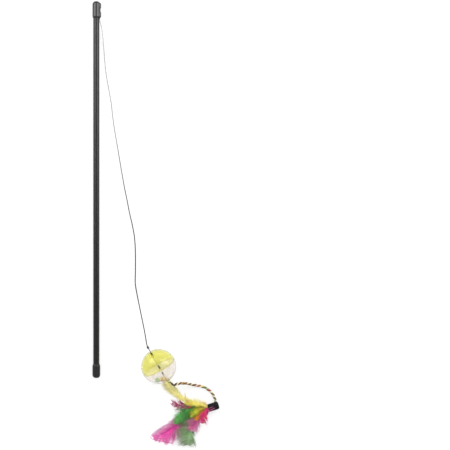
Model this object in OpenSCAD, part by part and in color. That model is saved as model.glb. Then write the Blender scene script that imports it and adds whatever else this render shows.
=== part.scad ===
// Cat teaser wand: a capped rod, an elastic string with a two-coloured rattle ball
// threaded on it, and a feather lure on a short twisted cord.
// The wand lies flat on a surface at z = 0 with its rod along Y and its string end at +Y.
// The origin is the middle of the laid-out toy's footprint.

/* [Rod] */
// Outer diameter of the rod
rod_d = 7.5; // [5:0.5:10]
// Wall of the rod's tube
rod_wall = 1; // [0.6:0.1:1.6]
// Length of the wand over both caps
wand_len = 452; // [300:1:600]
// How far the string end lies above the middle of the toy
top_y = 267.8; // [200:0.1:300]
// How far the rod's axis lies to the left of the middle of the toy
rod_left = 71.2; // [60:0.1:90]

/* [Caps] */
// Wall of both end caps round the rod
cap_wall = 0.95; // [0.8:0.05:2]
// Thickness of both end caps over the rod's ends
cap_end = 2.2; // [1.8:0.1:3]
// Rounding of the caps' closed ends
cap_round = 3.9; // [1:0.1:4]
// Length of the cap that holds the string
top_cap_len = 20.5; // [18:0.5:30]
// Length of the cap on the handle's end
butt_cap_len = 16.5; // [10:0.5:30]
// Length over which each cap thins towards its rim
rim_len = 2.4; // [0.8:0.1:4]
// How much thinner each cap's wall is at its rim
rim_drop = 0.5; // [0.1:0.05:0.6]
// How far up round the rod from its right side the string's pockets lie
anchor_turn = 25; // [0:1:60]
// Length of each swelling over a knot
lobe_len = 7.4; // [7:0.1:8.2]
// Rubber left outside each knot in a swelling
lobe_wall = 0.8; // [0.5:0.05:1.2]
// How far the lower swelling starts from the cap's rim
lobe_in = 0.4; // [0.2:0.1:1]
// Rubber left outside the string between the swellings
ridge_wall = 0.4; // [0.3:0.05:0.6]

/* [String] */
// Diameter of the elastic string
string_d = 0.9; // [0.6:0.1:1]
// Diameter of the knots held in the top cap
anchor_knot_d = 1.6; // [1.4:0.1:1.8]
// Length of each knot held in the top cap
anchor_knot_len = 3.4; // [2.4:0.1:4.4]
// Diameter of the knot just under the top cap
mouth_knot_d = 1.6; // [1.4:0.1:1.8]
// How far up round the rod from its right side the knot under the top cap lies
mouth_knot_turn = 40; // [0:1:70]
// Diameter of the stopper knot above the ball
upper_knot_d = 2.2; // [1.6:0.1:3]
// Length of the stopper knot above the ball
upper_knot_len = 3; // [2:0.1:4]
// How far the ball can slide before it meets the stopper knot
knot_slack = 4.3; // [1:0.1:8]
// Diameter of the string's end knot below the ball
lower_knot_d = 1.6; // [1.2:0.1:1.8]

/* [Ball] */
// Outer diameter of the rattle ball
ball_d = 42; // [38:0.5:46]
// Wall of the ball's two half shells
ball_wall = 1.2; // [0.9:0.1:1.8]
// How far the lap at the seam reaches into the clear half
lap_len = 1.6; // [1:0.1:3]
// Width of the hole at each pole round the string
pole_hole_d = 1.6; // [1.4:0.1:2.4]
// Outer diameter of the guide tube inside the yellow pole
guide_d = 4.6; // [3.6:0.1:6]
// Length of the guide tube inside the yellow pole
guide_len = 5; // [2:0.1:8]
// Ball centre from the middle of the toy, to the right
ball_x = 3.9; // [-10:0.1:20]
// Ball centre from the middle of the toy, towards the feathers
ball_down = 169.9; // [150:0.1:190]
// Diameter of the rattle beads
bead_d = 5.8; // [4:0.1:6]
// Gap between a bead and the ball's wall
bead_gap = 0.2; // [0.1:0.05:0.5]
// How far to the right of the ball's centre the orange bead rolls
orange_right = 4.6; // [4.4:0.1:5]
// How far to the left of the ball's centre the green bead rolls
green_left = 1.6; // [1.4:0.1:3]

/* [Cord] */
// Diameter of the twisted cord
cord_d = 2.8; // [2:0.1:3]
// Diameter of the twisted cord's knotted end
cord_knot_d = 2.4; // [2:0.1:3]
// Length of the twisted cord's knotted end
cord_knot_len = 4.2; // [3.6:0.1:4.4]

/* [Ferrule] */
// Outer diameter of the sleeve that gathers the quills
ferrule_d = 9.5; // [8.6:0.1:12]
// Length of the sleeve
ferrule_len = 13; // [12:0.1:16]
// Wall of the sleeve at its mouth
ferrule_wall = 0.85; // [0.5:0.05:1.1]
// Depth of the sleeve's cup from its mouth
cup_depth = 7; // [6.4:0.1:7.4]
// Rounding of the sleeve's closed end
ferrule_round = 2.2; // [1:0.1:3]
// How far the glue plug's face lies inside the mouth
plug_recess = 0.6; // [0.2:0.1:1.4]
// Depth of the cord's hole in the sleeve's side
cord_hole_depth = 2.4; // [1.6:0.1:3.4]
// Centre of the cord's hole from the sleeve's closed end
cord_hole_in = 2.5; // [2.1:0.1:3.4]
// Sleeve centre from the middle of the toy, to the right
ferrule_x = 69.3; // [60:0.1:90]
// Sleeve centre from the middle of the toy, towards the feathers
ferrule_down = 218.4; // [200:0.1:240]

/* [Quills] */
// Diameter of a quill where it stands in the plug
quill_d = 0.84; // [0.6:0.02:0.9]
// Depth of each quill's hole in the plug
quill_hole_depth = 3; // [2:0.1:5]
// Clear height between one feather's vane and the next one above it
layer_gap = 0.65; // [0.65:0.01:0.9]
// Height of the lowest feather over the surface
lowest_layer = 0.8; // [0.7:0.05:1]
// Thickness of a vane at its edge
vane_t = 0.3; // [0.2:0.02:0.4]
// Length over which a quill settles into its own direction
neck_len = 4; // [3:0.1:5]

/* [Feathers] */
// Length of the big magenta feather
magenta_len = 77.1; // [66:0.1:84]
// Width of the big magenta feather
magenta_w = 24; // [16:0.5:30]
// Length of the crimson feather
crimson_len = 45.3; // [36:0.1:52]
// Width of the crimson feather
crimson_w = 12; // [8:0.5:14]
// Length of the long yellow feather
yellow_long_len = 67; // [56:0.1:70]
// Width of the long yellow feather
yellow_long_w = 10; // [6:0.5:12]
// Length of the sage green feather
sage_len = 56.1; // [46:0.1:62]
// Width of the sage green feather
sage_w = 20; // [14:0.5:24]
// Length of the green feather
green_len = 52.5; // [44:0.1:58]
// Width of the green feather
green_w = 16; // [10:0.5:18]
// Length of the purple feather
purple_len = 37.4; // [30:0.1:44]
// Width of the purple feather
purple_w = 11; // [7:0.5:14]
// Length of the orange feather
orange_len = 25.7; // [22:0.1:34]
// Width of the orange feather
orange_w = 9; // [6:0.5:11]
// Length of the lime feather
lime_len = 29.1; // [24:0.1:36]
// Width of the lime feather
lime_w = 9; // [6:0.5:11]
// Length of the short yellow feather
yellow_short_len = 30.2; // [24:0.1:36]
// Width of the short yellow feather
yellow_short_w = 9; // [6:0.5:11]
// Length of the pink feather
pink_len = 20.5; // [18:0.1:26]
// Width of the pink feather
pink_w = 9; // [6:0.5:10]

/* [Hidden] */
$fn = 64;

// How far every cut runs past the face that it starts from
overrun = 1;
// Clearance of each trapped piece in its pocket
pocket_gap = 0.1;
// Clearance of a knot from the rod and of one string piece from the next
soft_gap = 0.3;
// Clearance of a quill in its hole, and of the plug and the cord in the sleeve
seat_gap = 0.05;

// Radius of each turn in a knot as a share of the knot's length
lump_share = 0.2;

// Rod and caps
rod_r = rod_d / 2;
cap_r = rod_r + cap_wall;
rod_z = cap_r;
rod_x = -rod_left;
butt_y = top_y - wand_len;
mouth_y = top_y - top_cap_len;

// String anchor in the top cap, lying against the rod in pockets that open to it
string_r = string_d / 2;
anchor_off = rod_r + anchor_knot_d / 2 + seat_gap;
pocket_r = anchor_knot_d / 2 + pocket_gap;
lobe_r = pocket_r + lobe_wall;
channel_r = string_r + pocket_gap;
ridge_r = channel_r + ridge_wall;
lower_lobe_y = mouth_y + lobe_in + lobe_len / 2;
upper_lobe_y = top_y - cap_end - lobe_len / 2;
mouth_knot_off = rod_r + mouth_knot_d / 2 + soft_gap;
mouth_knot_y = mouth_y - mouth_knot_d / 2 - soft_gap;

// Ball, with its axis pointing up to the yellow pole
ball_r = ball_d / 2;
ball_in = ball_r - ball_wall;
ball_at = [ball_x, -ball_down, ball_r];
ball_tilt = 12;
ball_turn = 119.3;
yellow_pole = [cos(ball_tilt) * cos(ball_turn), cos(ball_tilt) * sin(ball_turn), sin(ball_tilt)];
lap_r = ball_in + ball_wall / 2;
bead_orbit = ball_in - bead_d / 2 - bead_gap;
orange_roll = 20;
upper_knot_at = ball_r + knot_slack + upper_knot_len / 2;

// Ferrule, lying on the surface with its mouth towards the feathers
ferrule_r = ferrule_d / 2;
ferrule_turn = 198;
ferrule_at = [ferrule_x, -ferrule_down, ferrule_r];
along = [cos(ferrule_turn), sin(ferrule_turn), 0];
aside = [-sin(ferrule_turn), cos(ferrule_turn), 0];
cup_r = ferrule_r - ferrule_wall;
plug_r = cup_r - seat_gap;
plug_face = ferrule_len / 2 - plug_recess;
plug_len = cup_depth - plug_recess;
quill_r = quill_d / 2;
quill_hole_r = quill_r + seat_gap;
cord_r = cord_d / 2;
cord_hole_r = cord_r + seat_gap;

// Cord routes, chosen by hand
string_route = [
    [-67.4, 245.1, 7.8], [-66.3, 241.5, 7.1], [-65.1, 237, 5.8], [-63.9, 230.5, 4],
    [-62.6, 216.5, 1.7], [-61.5, 202, 0.8], [-60.3, 187.5, 0.5], [-58.3, 173, 0.5], [-55.7, 159, 0.5],
    [-53.3, 144.5, 0.5], [-51.7, 130, 0.5], [-49.7, 115.5, 0.5], [-47.3, 101, 0.5],
    [-44.9, 87, 0.5], [-42.5, 72.5, 0.5], [-40, 58, 0.5], [-37.4, 43.5, 0.5],
    [-34.5, 29.5, 0.5], [-31.7, 15, 0.5], [-28.4, 0.5, 0.5], [-25.7, -14, 0.5],
    [-24.6, -28, 0.5], [-24.3, -42.5, 0.5], [-24.4, -57, 0.5], [-24.5, -71, 0.7],
    [-22, -86, 2.4], [-19, -100.5, 6.6], [-16, -114.5, 13], [-12.9, -129, 20.2],
    [-10.9, -140.5, 25.6], [-9.8, -145.4, 27]
];
knot_to_pole = [
    [-8.1, -148.6, 26.2], [-6.2, -152, 25.4], [-3.2, -157.3, 24.1], [3.9, -169.9, 21],
    [11, -182.5, 17.9], [14, -187.8, 16.6], [14.6, -188.7, 16.3], [15.6, -189.4, 16],
    [16.9, -189.3, 15.6]
];
lower_knot_at = [18, -189, 15.3];
cord_knot_end = [21.2, -192.3, 13.6];
cord_route = [
    [22, -192.5, 13.4], [23.6, -191.9, 13.1], [26, -191, 12.5], [29.2, -190.4, 11.4],
    [32.5, -190.2, 10], [36.2, -190.6, 8.1], [40, -191.3, 6.2], [43.8, -192.1, 4.4],
    [47.5, -192.8, 3], [51.3, -193.4, 2.1], [54.9, -194.2, 1.6], [58.4, -195.5, 1.5],
    [61.7, -197.2, 1.5], [64.6, -199.4, 1.6], [67.2, -202, 1.9], [69, -204.8, 2.6],
    [70.3, -207.6, 3.5], [71, -210.1, 4.4], [71.6, -212.5, 4.75], [72.35, -214.85, 4.75]
];

// Feathers, lowest first. Each row holds the place of the quill's hole as a share of the plug's
// radius, the length, the width, the turns from the sleeve's axis at the root, the middle and
// the tip, the place of the widest point as a share of the vane, its fullness, and how many
// layers the tip comes down.
FEATHERS = [
    [0.16, magenta_len, magenta_w, [-16, 60, -15], 0.66, 0.7, 0],
    [-0.24, crimson_len, crimson_w, [-29, -2, -45], 0.62, 0.7, 0],
    [-0.63, yellow_long_len, yellow_long_w, [-21, -61, -77], 0.66, 0.8, 1.4],
    [0.31, sage_len, sage_w, [-4, 64, 72], 0.68, 0.45, 0],
    [-0.1, green_len, green_w, [-19, -12, 82], 0.6, 0.7, 0],
    [0.68, purple_len, purple_w, [17, 31, 69], 0.6, 0.7, 0],
    [0.24, orange_len, orange_w, [-3, 47, 53], 0.5, 0.7, 0],
    [-0.16, lime_len, lime_w, [-19, 38, 20], 0.52, 0.7, 0],
    [-0.5, yellow_short_len, yellow_short_w, [-53, 12, -41], 0.5, 0.7, 0],
    [0.24, pink_len, pink_w, [37, 64, 57], 0.45, 0.7, 0]
];
// Height between one quill's hole and the next as a share of the plug's radius
row_share = 0.172;
// Length over which a feather reaches its own layer, as a share of its length
settle_share = 0.3;
// Where a drooping feather starts to come down, as a share of its length
droop_share = 0.4;
// Barb tips ahead of their roots, as a share of the vane's half width
sweep_share = 0.6;
// Width at the notches between the locks of barbs, as a share of the full width
notch_share = 0.74;
// Quill thickness at the tip as a share of that at the root
taper_share = 0.35;
// Droop of a vane's edge as a share of its half width
camber_share = 0.02;
// Flat of the quill's flanks as a share of its radius
flank_share = 0.7;
// Where the vane's end is cut off blunt, as a share of its length
blunt_share = 0.97;
vane_steps = 28;
// Height from one feather's layer to the next
layer_step = vane_t + layer_gap;

function unit(v) = v / norm(v);
function heading(p, i) = unit(p[min(i + 1, len(p) - 1)] - p[max(i - 1, 0)]);
function ease(t) = let(u = min(max(t, 0), 1)) u * u * (3 - 2 * u);

// Closed skin over rings of points that all have the same number of points
module skin(rings) {
    n = len(rings[0]);
    last = len(rings) - 1;
    polyhedron(
        points = [for (ring = rings) each ring],
        faces = [
            for (k = [1:n - 2]) [0, k + 1, k],
            for (i = [0:last - 1]) for (k = [0:n - 1]) let(a = i * n + k, b = i * n + (k + 1) % n)
                each [[a, b, a + n], [b, b + n, a + n]],
            for (k = [1:n - 2]) [last * n, last * n + k, last * n + k + 1]
        ]
    );
}

// Round cord swept along a route
module cord(route, r, sides = 8) {
    skin([
        for (i = [0:len(route) - 1])
            let(ahead = heading(route, i), side = unit(cross(ahead, [0, 0, 1])), up = cross(side, ahead))
                [for (k = [0:sides - 1]) let(a = k * 360 / sides)
                    route[i] + r * (cos(a) * side + sin(a) * up)]
    ]);
}

// Puts a piece on the rod's axis, with its own +Z towards the string end
module on_rod(y) {
    translate([rod_x, y, rod_z]) rotate([-90, 0, 0]) children();
}

// Puts a round piece at a distance from the rod's axis, turned up from the rod's right side
module beside_rod(y, off, turn) {
    translate([off * cos(turn), 0, off * sin(turn)]) on_rod(y) children();
}

// Puts a piece on the ball's axis, with its own +Z towards the yellow pole
module on_ball() {
    translate(ball_at) rotate([0, 90 - ball_tilt, ball_turn]) children();
}

// Puts a piece on the ferrule's axis, with its own +Z towards the mouth, -X up and +Y aside
module on_ferrule() {
    translate(ferrule_at) rotate([0, 90, ferrule_turn]) children();
}

// Solid of revolution with round ends, standing on its own middle
module capsule(r, length) {
    rotate_extrude() intersection() {
        union() {
            square([2 * r, length - 2 * r], center = true);
            for (side = [-1, 1]) translate([0, side * (length / 2 - r)]) circle(r);
        }
        translate([0, -length / 2]) square([r, length]);
    }
}

// Overhand knot pulled tight: a core with its turns of string round it
module knot(d, length, turns = 3) {
    lump_r = length * lump_share;
    core_r = d / 2 - lump_r;
    pitch = (length - 2 * lump_r) / (turns - 1);
    rotate_extrude() intersection() {
        union() {
            square([2 * core_r, length], center = true);
            for (i = [0:turns - 1]) translate([core_r, (i - (turns - 1) / 2) * pitch]) circle(lump_r);
        }
        translate([0, -length]) square([d, 2 * length]);
    }
}

// Push-on cap: a round-ended cup with its closed end at +Z, thinning to its rim at z = 0
module cap(length) {
    rotate_extrude() difference() {
        union() {
            polygon([
                [0, 0], [cap_r - rim_drop, 0], [cap_r, rim_len], [cap_r, length - cap_round],
                [0, length - cap_round]
            ]);
            square([cap_r - cap_round, length]);
            translate([cap_r - cap_round, length - cap_round]) intersection() {
                circle(cap_round);
                square(cap_round);
            }
        }
        translate([0, -overrun]) square([rod_r, length - cap_end + overrun]);
    }
}

module rod() color("#1c1c1e") {
    tube_len = wand_len - 2 * cap_end;
    on_rod(butt_y + cap_end) difference() {
        cylinder(r = rod_r, h = tube_len);
        translate([0, 0, -overrun]) cylinder(r = rod_r - rod_wall, h = tube_len + 2 * overrun);
    }
}

module top_cap() color("#2a2a2b") {
    pocket_len = anchor_knot_len + 2 * pocket_gap;
    difference() {
        union() {
            on_rod(mouth_y) cap(top_cap_len);
            for (y = [lower_lobe_y, upper_lobe_y])
                beside_rod(y, anchor_off, anchor_turn) capsule(lobe_r, lobe_len);
            beside_rod(mouth_y, anchor_off, anchor_turn)
                cylinder(r = ridge_r, h = upper_lobe_y - mouth_y);
        }
        on_rod(mouth_y - overrun) cylinder(r = rod_r, h = top_cap_len - cap_end + overrun);
        beside_rod(mouth_y - overrun, anchor_off, anchor_turn)
            cylinder(r = channel_r, h = upper_lobe_y - mouth_y + overrun);
        for (y = [lower_lobe_y, upper_lobe_y])
            beside_rod(y - pocket_len / 2, anchor_off, anchor_turn)
                cylinder(r = pocket_r, h = pocket_len);
    }
}

module butt_cap() color("#2a2a2b") {
    translate([rod_x, butt_y + butt_cap_len, rod_z]) rotate([90, 0, 0]) cap(butt_cap_len);
}

module string_anchor() color("#4a4a4a") {
    beside_rod(mouth_y, anchor_off, anchor_turn) cylinder(r = string_r, h = upper_lobe_y - mouth_y);
    for (y = [lower_lobe_y, upper_lobe_y])
        beside_rod(y, anchor_off, anchor_turn) knot(anchor_knot_d, anchor_knot_len);
}

module mouth_knot() color("#3a3a3a") {
    beside_rod(mouth_knot_y, mouth_knot_off, mouth_knot_turn) sphere(d = mouth_knot_d);
}

module string() color("#5c5c5c") cord(string_route, string_r);

module upper_knot() color("#333333") {
    on_ball() translate([0, 0, upper_knot_at]) knot(upper_knot_d, upper_knot_len);
}

module ball_string() color("#5c5c5c") cord(knot_to_pole, string_r);

module lower_knot() color("#333333") translate(lower_knot_at) sphere(d = lower_knot_d);

// Half of the ball's wall between two radii, cut at the seam
module half_wall(outer, inner, high) {
    intersection() {
        difference() {
            circle(outer);
            circle(inner);
        }
        translate([0, high < 0 ? high : 0]) square([ball_d, abs(high)]);
    }
}

module ball_yellow_half() color("#e9e66a", 0.6) {
    on_ball() rotate_extrude() difference() {
        union() {
            half_wall(ball_r, ball_in, ball_r);
            half_wall(lap_r - seat_gap, ball_in, -lap_len);
            translate([0, ball_in - guide_len]) square([guide_d / 2, guide_len + ball_wall / 2]);
        }
        square([pole_hole_d / 2, ball_d]);
    }
}

module ball_clear_half() color("#ece9e2", 0.5) {
    on_ball() rotate_extrude() difference() {
        half_wall(ball_r, ball_in, -ball_r);
        half_wall(lap_r, ball_in - overrun, -lap_len - seat_gap);
        translate([0, -ball_d]) square([pole_hole_d / 2, ball_d]);
    }
}

// Moulded bead with a fine parting line
module bead() {
    land = bead_d / 20;
    rotate_extrude() intersection() {
        union() {
            circle(d = bead_d);
            translate([0, -land / 2]) square([bead_d / 2, land]);
        }
        translate([0, -bead_d]) square([bead_d, 2 * bead_d]);
    }
}

// Place of a bead that rolls in the plane off to the right of the ball's centre
function bead_at(off, roll) =
    let(reach = sqrt(bead_orbit ^ 2 - off ^ 2))
        ball_at + [off, -reach * cos(roll), reach * sin(roll)];

module green_bead() color("#9ccf92") translate(bead_at(-green_left, 0)) bead();

module orange_bead() color("#eab87a") translate(bead_at(orange_right, orange_roll)) bead();

module cord_knot() color("#5a4630") {
    run = cord_knot_end - lower_knot_at;
    start = lower_knot_at + unit(run) * (lower_knot_d / 2 + soft_gap + cord_knot_len / 2);
    translate(start)
        rotate([0, 90 - asin(unit(run)[2]), atan2(run[1], run[0])])
            knot(cord_knot_d, cord_knot_len);
}

module twisted_cord() color("#8a7a5c") cord(cord_route, cord_r);

module ferrule() color("#141414") {
    on_ferrule() difference() {
        translate([0, 0, -ferrule_len / 2]) rotate_extrude() difference() {
            union() {
                translate([0, ferrule_round]) square([ferrule_r, ferrule_len - ferrule_round]);
                square([ferrule_r - ferrule_round, ferrule_len]);
                translate([ferrule_r - ferrule_round, ferrule_round]) intersection() {
                    circle(ferrule_round);
                    translate([0, -ferrule_round]) square(ferrule_round);
                }
            }
            translate([0, ferrule_len - cup_depth]) square([cup_r, cup_depth + overrun]);
        }
        translate([0, cord_hole_depth - ferrule_r, cord_hole_in - ferrule_len / 2])
            rotate([90, 0, 0]) cylinder(r = cord_hole_r, h = cord_hole_depth + overrun);
    }
}

// Height of a feather's quill hole over the sleeve's axis
function row_up(i) = (i - (len(FEATHERS) - 1) / 2) * row_share * plug_r;

module quill_plug() color("#b9a77c") {
    on_ferrule() difference() {
        translate([0, 0, plug_face - plug_len]) cylinder(r = plug_r, h = plug_len);
        for (i = [0:len(FEATHERS) - 1])
            translate([-row_up(i), FEATHERS[i][0] * plug_r, plug_face - quill_hole_depth])
                cylinder(r = quill_hole_r, h = quill_hole_depth + overrun);
    }
}

// Turn of a quill from the sleeve's axis at a distance s from the plug's face
function quill_turn(s, length, turns) =
    s < neck_len
        ? turns[0] * max(s, 0) / neck_len
        : let(t = (s - neck_len) / (length - neck_len))
            turns[0] * (1 - t) ^ 2 + 2 * turns[1] * t * (1 - t) + turns[2] * t ^ 2;

function quill_way(s, length, turns) =
    let(a = ferrule_turn + quill_turn(s, length, turns)) [cos(a), sin(a), 0];

// Half width of a vane at a share t of its own length
function vane_half(t, width, belly, full) =
    width / 2 * sin(180 * min(t, blunt_share) ^ (ln(0.5) / ln(belly))) ^ full;

// Cross-section of a feather: a thick quill with a thin vane that is swept forward at its edges
function feather_ring(at, way, r, half) =
    let(
        side = [-way[1], way[0], 0],
        edge = max(half, r),
        ahead = (edge - r) * sweep_share,
        drop = (edge - r) * camber_share,
        thin = min(vane_t / 2, r / 2),
        flank = r * flank_share
    )
        [for (p = [
            [-edge, thin - drop, ahead], [-flank, flank, 0], [0, r, 0], [flank, flank, 0],
            [edge, thin - drop, ahead], [edge, -thin - drop, ahead], [flank, -flank, 0],
            [0, -r, 0], [-flank, -flank, 0], [-edge, -thin - drop, ahead]
        ]) at + p[0] * side + [0, 0, p[1]] + p[2] * way];

module feather(i) {
    row = FEATHERS[i];
    length = row[1];
    turns = row[3];
    root_up = ferrule_r + row_up(i);
    layer_up = lowest_layer + i * layer_step;
    tip_down = row[6] * layer_step;
    root = ferrule_at + plug_face * along + row[0] * plug_r * aside;
    // Distances of the rings from the plug's face: the seat, the bent neck, then the vane
    stops = concat(
        [seat_gap - quill_hole_depth, 0, neck_len / 3, neck_len * 2 / 3],
        [for (k = [0:vane_steps]) neck_len + (length - neck_len) * k / vane_steps]
    );
    path = [
        for (k = 0, p = root + stops[0] * along; k < len(stops); k = k + 1,
            p = k < len(stops)
                ? p + (stops[k] - stops[k - 1])
                    * quill_way((stops[k] + stops[k - 1]) / 2, length, turns)
                : p) p
    ];
    skin([
        for (k = [0:len(stops) - 1])
            let(
                share = max(stops[k], 0) / length,
                up = root_up + (layer_up - root_up) * ease(share / settle_share)
                    - tip_down * ease((share - droop_share) / (1 - droop_share)),
                r = quill_r * (1 - (1 - taper_share) * share),
                vane = max(k - 4, 0) / vane_steps,
                lock = k % 2 == 0 ? 1 : notch_share
            )
                feather_ring([path[k][0], path[k][1], up], quill_way(stops[k], length, turns), r,
                    lock * vane_half(vane, row[2], row[4], row[5]))
    ]);
}

module magenta_feather() color("#d9439a") feather(0);
module crimson_feather() color("#b5466a") feather(1);
module yellow_long_feather() color("#efdf7c") feather(2);
module sage_feather() color("#7fa06c") feather(3);
module green_feather() color("#3b8f43") feather(4);
module purple_feather() color("#b05590") feather(5);
module orange_feather() color("#c47a2c") feather(6);
module lime_feather() color("#a3b236") feather(7);
module yellow_short_feather() color("#ece06a") feather(8);
module pink_feather() color("#d2386c") feather(9);

rod();
top_cap();
butt_cap();
string_anchor();
mouth_knot();
string();
upper_knot();
ball_string();
lower_knot();
ball_yellow_half();
ball_clear_half();
green_bead();
orange_bead();
cord_knot();
twisted_cord();
ferrule();
quill_plug();
magenta_feather();
crimson_feather();
yellow_long_feather();
sage_feather();
green_feather();
purple_feather();
orange_feather();
lime_feather();
yellow_short_feather();
pink_feather();
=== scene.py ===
"""Cat teaser wand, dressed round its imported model.

The toy lies on the floor at z = 0 with its rod along Y, in metres. Rod, caps, the string's end
inside the top cap, ball halves, beads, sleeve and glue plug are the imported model's own solids with
their finishes. The string, its knots, the twisted cord and every feather are made here, each in
the place of its solid.
"""

import logging
import math
from dataclasses import dataclass
from enum import Enum

import bpy
import numpy as np
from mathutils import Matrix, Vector


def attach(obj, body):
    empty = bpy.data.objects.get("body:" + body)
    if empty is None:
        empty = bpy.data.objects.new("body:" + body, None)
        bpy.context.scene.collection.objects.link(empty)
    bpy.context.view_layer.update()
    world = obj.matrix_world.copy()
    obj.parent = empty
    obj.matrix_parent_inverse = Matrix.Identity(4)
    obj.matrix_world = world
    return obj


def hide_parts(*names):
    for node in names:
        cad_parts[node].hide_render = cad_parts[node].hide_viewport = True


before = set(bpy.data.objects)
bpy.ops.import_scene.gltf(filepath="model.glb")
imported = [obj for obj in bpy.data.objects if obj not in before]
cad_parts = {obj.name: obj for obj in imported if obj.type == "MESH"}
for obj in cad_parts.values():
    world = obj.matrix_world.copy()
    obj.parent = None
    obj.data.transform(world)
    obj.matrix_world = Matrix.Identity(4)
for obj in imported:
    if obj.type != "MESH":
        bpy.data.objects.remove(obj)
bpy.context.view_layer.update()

LOG = logging.getLogger("cat_teaser")
MM = 0.001

# Sockets of the colour mix node, whose names repeat
MIX_FACTOR, MIX_A, MIX_B, MIX_RESULT = 0, 6, 7, 2

# How far up a heading of length 1 points before it counts as upright, and the least length of a vector
UPRIGHT = 0.95
LEAST_LENGTH = 1e-12

# A wound knot: points to each turn, its width at the ends and what its middle adds, and how far its
# strand weaves along the cord, as a share of the strand
POINTS_PER_TURN = 16
KNOT_ENDS, KNOT_MIDDLE = 0.72, 0.28
KNOT_WEAVE = 0.12


class Body(Enum):
    """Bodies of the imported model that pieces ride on."""

    WAND = "wand"
    SWIVEL = "swivel"
    LINE = "line"
    BALL = "ball"
    TAIL = "tail"


class Side(Enum):
    """Side of a quill on which a barb grows, seen from its root."""

    LEFT = 1
    RIGHT = -1


def srgb(code: str) -> tuple[float, float, float, float]:
    """Turns an sRGB hex colour to linear light.

    Args:
        code: The colour as #rrggbb.

    Returns:
        Red, green, blue and alpha in linear light.
    """
    parts = [int(code[i:i + 2], 16) / 255 for i in (1, 3, 5)]
    linear = [c / 12.92 if c <= 0.04045 else ((c + 0.055) / 1.055) ** 2.4 for c in parts]
    return (linear[0], linear[1], linear[2], 1.0)


def per_metre(size_mm: float) -> float:
    """Returns the texture scale that gives a pattern its real size in millimetres."""
    return 1 / (size_mm * MM)


def add_node(
    tree: bpy.types.NodeTree,
    kind: str,
    inputs: dict | None = None,
    stops: list[tuple[float, str]] | None = None,
    **settings,
) -> bpy.types.Node:
    """Adds one node with its settings and links.

    Args:
        tree: The node tree of a material or of the world.
        kind: The node's type name.
        inputs: Socket name or number to a value, or to the output socket that feeds it.
        stops: Places from 0 to 1 with their hex colours, for a colour ramp.
        **settings: Properties of the node itself.

    Returns:
        The new node.
    """
    node = tree.nodes.new(kind)
    for name, value in settings.items():
        setattr(node, name, value)
    for key, value in (inputs or {}).items():
        if isinstance(value, bpy.types.NodeSocket):
            tree.links.new(value, node.inputs[key])
        else:
            node.inputs[key].default_value = value
    if stops:
        ramp = node.color_ramp
        while len(ramp.elements) < len(stops):
            ramp.elements.new(1.0)
        for element, (place, code) in zip(ramp.elements, stops):
            element.position = place
            element.color = srgb(code)
    return node


@dataclass(frozen=True)
class Finish:
    """What every finish shares: a name, and the start and end of its node tree."""

    name: str

    def start(self) -> tuple[bpy.types.Material, bpy.types.NodeTree]:
        """Makes an empty material.

        Returns:
            The material and its node tree.
        """
        material = bpy.data.materials.new(self.name)
        material.use_nodes = True
        material.node_tree.nodes.clear()
        return material, material.node_tree

    def close(self, tree: bpy.types.NodeTree, inputs: dict) -> None:
        """Adds the shader and the output that end a tree.

        Args:
            tree: The material's node tree.
            inputs: The shader's sockets, each with a value or the output that feeds it.
        """
        shader = add_node(tree, "ShaderNodeBsdfPrincipled", inputs)
        add_node(tree, "ShaderNodeOutputMaterial", {"Surface": shader.outputs["BSDF"]})

    def make(self) -> bpy.types.Material:
        """Makes the finish's material."""
        raise NotImplementedError


@dataclass(frozen=True)
class BlackSkin(Finish):
    """What the black finishes share: two close tones, an uneven gloss and a fine relief."""

    colour: str
    worn: str
    roughness: float
    specular: float
    relief_mm: float
    smoother: float = 0.05
    rougher: float = 0.08

    def dress_skin(
        self,
        tree: bpy.types.NodeTree,
        colour_pattern: bpy.types.NodeSocket,
        sheen: bpy.types.NodeSocket,
        relief: bpy.types.NodeSocket,
    ) -> None:
        """Ends a tree with the skin that three patterns give.

        Args:
            tree: The material's node tree.
            colour_pattern: The pattern that mixes the two tones.
            sheen: The pattern that the gloss follows.
            relief: The pattern that stands out of the surface.
        """
        tone = add_node(tree, "ShaderNodeMix", {
            MIX_FACTOR: colour_pattern, MIX_A: srgb(self.colour), MIX_B: srgb(self.worn),
        }, data_type="RGBA")
        gloss = add_node(tree, "ShaderNodeMapRange", {
            "Value": sheen, "To Min": self.roughness - self.smoother,
            "To Max": self.roughness + self.rougher,
        })
        bump = add_node(tree, "ShaderNodeBump", {"Height": relief, "Distance": self.relief_mm * MM})
        self.close(tree, {
            "Base Color": tone.outputs[MIX_RESULT], "Roughness": gloss.outputs["Result"],
            "Normal": bump.outputs["Normal"], "Specular IOR Level": self.specular,
        })


@dataclass(frozen=True)
class PulledFibreglass(BlackSkin):
    """Black glass-fibre tube pulled through a die: glossy, with faint lengthwise draw lines."""

    name: str = "pulled_fibreglass"
    colour: str = "#060606"
    worn: str = "#0b0a0a"
    roughness: float = 0.31
    specular: float = 0.5
    relief_mm: float = 0.0008
    line_mm: float = 0.45
    line_length_mm: float = 60.0
    smudge_mm: float = 22.0

    def make(self) -> bpy.types.Material:
        """Makes the tube's material, with its draw lines along Y."""
        material, tree = self.start()
        place = add_node(tree, "ShaderNodeTexCoord").outputs["Object"]
        across, lengthwise = per_metre(self.line_mm), per_metre(self.line_length_mm)
        drawn = add_node(tree, "ShaderNodeMapping", {
            "Vector": place, "Scale": (across, lengthwise, across),
        })
        lines = add_node(tree, "ShaderNodeTexNoise", {"Vector": drawn.outputs["Vector"], "Scale": 1.0})
        smudge = add_node(tree, "ShaderNodeTexNoise", {
            "Vector": place, "Scale": per_metre(self.smudge_mm),
        })
        self.dress_skin(tree, lines.outputs["Fac"], smudge.outputs["Fac"], lines.outputs["Fac"])
        return material


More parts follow.
